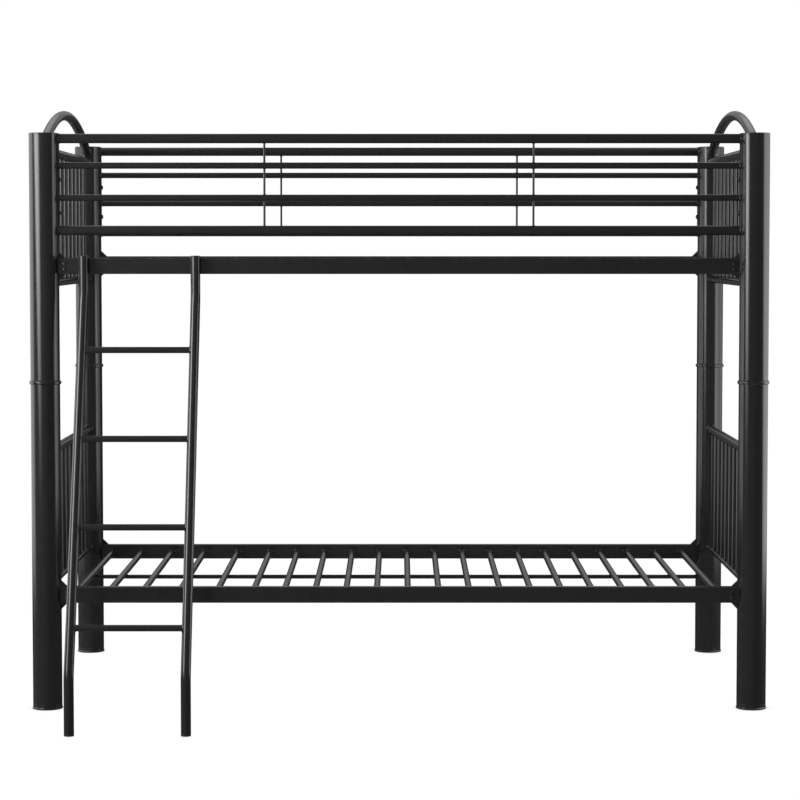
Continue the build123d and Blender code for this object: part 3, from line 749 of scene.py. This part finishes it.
hooks, lfeet, ltops = Shape(), Shape(), Shape()
zt = SR_UP + SR_H + 0.4
yi = YF + SR_W / 2 + 0.5
for i, x in enumerate(LAD_X):
    out = soften([(LAD_Y0 + 3.0, zt, 0), (yi, zt, 0.8), (yi, zt - HOOK_DROP, 0.9), (yi + HOOK_T, zt - HOOK_DROP - 1.5, 0.9),
                  (yi + HOOK_T, zt + HOOK_T, 2.9), (LAD_Y0 + 3.0, zt + HOOK_T, 0)], closed=True, n=6, spread=0.8)
    hooks.prism(out, lambda u, v, d, x=x: Vector((x + d, u, v)), -HOOK_W / 2, HOOK_W / 2, b=0.6)
    hu, hv = HOOK_W / 2 - 0.4, HOOK_T / 2
    loop = soften([(-hu, -hv, 0.8), (hu, -hv, 0.8), (hu, hv, 0.8), (-hu, hv, 0.8)], closed=True, n=4, spread=0.5)
    pts = []
    for j, (u, v, _) in enumerate(loop):
        u1, v1, _ = loop[(j + 1) % len(loop)]
        m = max(1, int(math.hypot(u1 - u, v1 - v) / 1.0))
        pts.extend((u + (u1 - u) * k / m, v + (v1 - v) * k / m) for k in range(m))
    outline = []
    for j, (u, v) in enumerate(pts):
        pu, pv = pts[j - 1]
        nu, nv = pts[(j + 1) % len(pts)]
        t = Vector((nu - pu, nv - pv)).normalized()
        outline.append((Vector((x + u, LAD_Y0, zt + hv + v)), Vector((t.y, 0, -t.x))))
    hooks.weld(outline, (0, 1, 0), round_exit((x, LAD_Y0, 0), (0, 0, 1), LAD_R), 0.9, 540 + i)
    rp = LAD_R - 1.2 - 0.15
    lfeet.lathe(soften([(0, 0, 0), (LAD_R, 0, 1.6), (LAD_R, LAD_FOOT - GAP, 0.25), (rp, LAD_FOOT - GAP, 0), (rp, LAD_FOOT + 18, 0.5),
                        (rp - 1, LAD_FOOT + 20, 0.4), (0, LAD_FOOT + 20, 0)], n=5, spread=0.8), (x, LAD_Y1, 0), seg=64)
    ltops.lathe([(0, LAD_ZT - 18, 0), (rp - 1, LAD_ZT - 18, 0), (rp, LAD_ZT - 16, 0), (rp, LAD_ZT + GAP, 0),
                 (LAD_R - 0.2, LAD_ZT + GAP, 0.2), (LAD_R, LAD_ZT + 0.3, 0.6), (LAD_R, LAD_ZT + 0.9, 0.8), (LAD_R - 0.25, LAD_ZT + 1.55, 1.0),
                 (LAD_R - 0.9, LAD_ZT + 2.25, 1.0), (LAD_R - 2.0, LAD_ZT + 2.7, 0.6), (LAD_R - 4.0, LAD_ZT + 2.95, 0), (LAD_R - 8.0, LAD_ZT + 3.13, 0),
                 (0, LAD_ZT + 3.2, 0)], (x, LAD_Y0, 0), seg=64)
piece("ladder_hooks", hooks, "ladder")
piece("ladder_feet", lfeet, "ladder", "black_plastic")
piece("ladder_top_caps", ltops, "ladder", "black_plastic")


# ---------------------------------------------------------------------------
# floor, light
# ---------------------------------------------------------------------------
fm = bpy.data.meshes.new("floor")
seg, rad = 96, 40.0
fm.from_pydata([(rad * math.cos(2 * math.pi * i / seg), rad * math.sin(2 * math.pi * i / seg), -0.0005) for i in range(seg)], [],
               [tuple(range(seg))])
floor = bpy.data.objects.new("floor", fm)
scene.collection.objects.link(floor)


class Graph:
    """Short hands for a node tree."""

    def __init__(self, tree):
        self.t = tree
        tree.nodes.clear()

    def new(self, kind, **sets):
        n = self.t.nodes.new(kind)
        for k, v in sets.items():
            setattr(n, k, v)
        return n

    def link(self, a, b):
        self.t.links.new(a, b)

    def math(self, op, *xs):
        n = self.new("ShaderNodeMath", operation=op)
        for k, v in enumerate(xs):
            if isinstance(v, (int, float)):
                n.inputs[k].default_value = v
            else:
                self.link(v, n.inputs[k])
        return n.outputs[0]

    def step(self, src, lo, hi, a=0.0, b=1.0):
        n = self.new("ShaderNodeMapRange", interpolation_type="SMOOTHSTEP")
        n.inputs["From Min"].default_value = lo
        n.inputs["From Max"].default_value = hi
        n.inputs["To Min"].default_value = a
        n.inputs["To Max"].default_value = b
        self.link(src, n.inputs["Value"])
        return n.outputs["Result"]


# pale and plain, and self-lit; a painted soft shade, set from ambient occlusion, darkens its glow where something
# stands close
fmat = bpy.data.materials.new("pale_floor")
fmat.use_nodes = True
g = Graph(fmat.node_tree)
ao = g.new("ShaderNodeAmbientOcclusion", samples=16)
ao.inputs["Distance"].default_value = 0.22
em = g.new("ShaderNodeEmission")
em.inputs["Color"].default_value = (1.0, 1.0, 1.0, 1.0)
# painted shade: the glow's strength drops with ambient occlusion under and beside the bed
g.link(g.step(ao.outputs["AO"], 0.15, 0.92, 0.70, 1.02), em.inputs["Strength"])
out = g.new("ShaderNodeOutputMaterial")
g.link(em.outputs[0], out.inputs[0])
fm.materials.append(fmat)
floor.visible_glossy = False
floor.visible_diffuse = False


def screen(name, corners):
    """Lit screen out of the picture. It blocks nothing. Gives its node graph, x, y, z and a call that sets its strength."""
    me = bpy.data.meshes.new(name)
    me.from_pydata(corners, [], [(0, 1, 2, 3)])
    ob = bpy.data.objects.new(name, me)
    scene.collection.objects.link(ob)
    ob.visible_camera = False
    ob.visible_shadow = False
    mat = bpy.data.materials.new(name)
    mat.use_nodes = True
    g = Graph(mat.node_tree)
    tc = g.new("ShaderNodeTexCoord")
    sp = g.new("ShaderNodeSeparateXYZ")
    g.link(tc.outputs["Object"], sp.inputs[0])
    em = g.new("ShaderNodeEmission")
    tr = g.new("ShaderNodeBsdfTransparent")
    add = g.new("ShaderNodeAddShader")
    g.link(em.outputs[0], add.inputs[0])
    g.link(tr.outputs[0], add.inputs[1])
    out = g.new("ShaderNodeOutputMaterial")
    g.link(add.outputs[0], out.inputs[0])
    me.materials.append(mat)
    return g, sp.outputs["X"], sp.outputs["Y"], sp.outputs["Z"], lambda k: g.link(k, em.inputs["Strength"])


def light_bank(name, x, ys, zs, level, lean, y_in, y_out, tail, far, z_in, z_out):
    """Upright screen beside the bed, with soft edges."""
    g, _, y, z, lit = screen(name, [(x, ys[0], zs[0]), (x, ys[1], zs[0]), (x, ys[1], zs[1]), (x, ys[0], zs[1])])
    y = g.math("ADD", y, g.math("MULTIPLY", g.math("SUBTRACT", z, 1.0), lean))
    k = g.math("MULTIPLY", g.step(y, *y_in), g.step(y, *y_out, 1.0, tail))
    k = g.math("MULTIPLY", k, g.step(y, *far, 1.0, 0.0))
    k = g.math("MULTIPLY", k, g.math("MULTIPLY", g.step(z, *z_in), g.step(z, *z_out, 1.0, 0.0)))
    lit(g.math("MULTIPLY", k, level))


def light_roof(name, xs, ys, z, level, soft, y_in, y_out):
    """Level screen above one end of the bed, with soft edges."""
    g, x, y, _, lit = screen(name, [(xs[0], ys[0], z), (xs[1], ys[0], z), (xs[1], ys[1], z), (xs[0], ys[1], z)])
    k = g.math("MULTIPLY", g.step(x, xs[0], xs[0] + soft), g.step(x, xs[1] - soft, xs[1], 1.0, 0.0))
    k = g.math("MULTIPLY", k, g.math("MULTIPLY", g.step(y, *y_in), g.step(y, *y_out, 1.0, 0.0)))
    lit(g.math("MULTIPLY", k, level))


light_bank("key_bank", -2.2, (-4.6, 1.6), (0.1, 2.9), 9.8, -0.74, (-3.6, -1.8), (-1.42, -1.14), 0.0, (0.6, 1.6), (0.3, 1.6), (2.1, 2.8))
light_bank("left_bank", -2.25, (-0.6, 5.0), (0.0, 3.1), 2.4, 0.0, (-0.48, -0.22), (-0.3, 0.8), 0.58, (0.9, 4.2), (0.03, 0.36), (2.3, 3.0))
light_bank("right_bank", 2.2, (-1.7, 5.0), (0.0, 3.1), 3.3, 0.28, (-0.86, -0.66), (-0.4, 0.8), 0.40, (0.7, 2.6), (0.03, 0.36), (2.3, 3.0))

for name, xs in (("left_roof", (-1.6, -0.4)), ("right_roof", (0.4, 1.6))):
    light_roof(name, xs, (0.1, 2.6), 2.4, 0.78, 0.3, (0.2, 0.5), (0.8, 2.5))

# even, soft surroundings: pale to the eye, dim in the gloss
world = bpy.data.worlds.new("studio")
scene.world = world
world.use_nodes = True
g = Graph(world.node_tree)
tc = g.new("ShaderNodeTexCoord")
xyz = g.new("ShaderNodeSeparateXYZ")
g.link(tc.outputs["Generated"], xyz.inputs[0])
dim = g.math("MULTIPLY", g.step(xyz.outputs["X"], -0.05, 0.35, 0.25, 0.16), g.step(xyz.outputs["Y"], 0.2, 0.8, 1.0, 0.3))
glow = g.math("MULTIPLY", g.step(xyz.outputs["Y"], 0.3, 0.9, 0.0, 0.27), g.step(xyz.outputs["Z"], 0.04, 0.13))
dim = g.math("ADD", dim, glow)
path = g.new("ShaderNodeLightPath")
soft = g.new("ShaderNodeBackground")
soft.inputs["Color"].default_value = (1.0, 1.0, 1.0, 1.0)
g.link(dim, soft.inputs["Strength"])
plain = g.new("ShaderNodeBackground")
plain.inputs["Color"].default_value = (1.0, 1.0, 1.0, 1.0)
plain.inputs["Strength"].default_value = 1.02
both = g.new("ShaderNodeMixShader")
g.link(path.outputs["Is Camera Ray"], both.inputs[0])
g.link(soft.outputs[0], both.inputs[1])
g.link(plain.outputs[0], both.inputs[2])
wout = g.new("ShaderNodeOutputWorld")
g.link(both.outputs[0], wout.inputs[0])

scene.view_settings.view_transform = "Standard"
scene.view_settings.look = "None"
scene.view_settings.exposure = 0.0
scene.view_settings.gamma = 1.0
